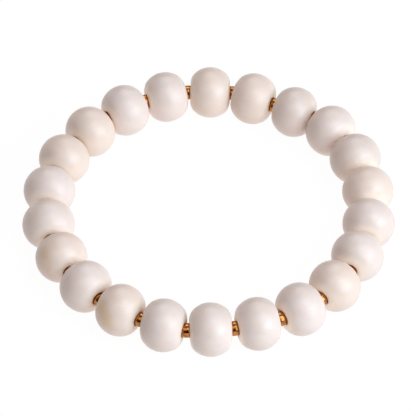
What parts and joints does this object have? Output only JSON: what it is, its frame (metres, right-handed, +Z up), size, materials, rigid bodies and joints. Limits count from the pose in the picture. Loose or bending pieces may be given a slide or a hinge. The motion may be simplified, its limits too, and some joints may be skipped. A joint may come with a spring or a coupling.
{
  "type": "bone bead bracelet",
  "caption": "Closed stretch bracelet of barrel-round polished bone beads with a small gold spacer bead between each two, strung on hidden elastic, lying flat as a ring.",
  "frame": {"origin": "on the surface that the bracelet lies on, at the middle of the ring", "axes": "+Z up, square to the plane of the ring; +Y to the bead that the picture shows farthest away; +X to the picture's right"},
  "size_m": [0.0782, 0.0792, 0.0111],
  "materials": {
    "white_bone": "satin",
    "cream_bone": "satin",
    "polished_gold": "polished",
    "clear_elastic": "satin"
  },
  "bodies": {
    "root": {"bone_bead_01": "cream_bone", "bone_bead_02": "cream_bone", "bone_bead_03": "white_bone", "bone_bead_04": "white_bone", "bone_bead_05": "white_bone", "bone_bead_06": "cream_bone", "bone_bead_07": "white_bone", "bone_bead_08": "white_bone", "bone_bead_09": "cream_bone", "bone_bead_10": "white_bone", "bone_bead_11": "white_bone", "bone_bead_12": "white_bone", "bone_bead_13": "white_bone", "bone_bead_14": "cream_bone", "bone_bead_15": "white_bone", "bone_bead_16": "cream_bone", "bone_bead_17": "white_bone", "bone_bead_18": "white_bone", "bone_bead_19": "cream_bone", "bone_bead_20": "cream_bone", "bone_bead_21": "white_bone", "bone_bead_22": "white_bone", "gold_spacer_01": "polished_gold", "gold_spacer_02": "polished_gold", "gold_spacer_03": "polished_gold", "gold_spacer_04": "polished_gold", "gold_spacer_05": "polished_gold", "gold_spacer_06": "polished_gold", "gold_spacer_07": "polished_gold", "gold_spacer_08": "polished_gold", "gold_spacer_09": "polished_gold", "gold_spacer_10": "polished_gold", "gold_spacer_11": "polished_gold", "gold_spacer_12": "polished_gold", "gold_spacer_13": "polished_gold", "gold_spacer_14": "polished_gold", "gold_spacer_15": "polished_gold", "gold_spacer_16": "polished_gold", "gold_spacer_17": "polished_gold", "gold_spacer_18": "polished_gold", "gold_spacer_19": "polished_gold", "gold_spacer_20": "polished_gold", "gold_spacer_21": "polished_gold", "gold_spacer_22": "polished_gold", "elastic_cord": "clear_elastic"}
  },
  "joints": []
}
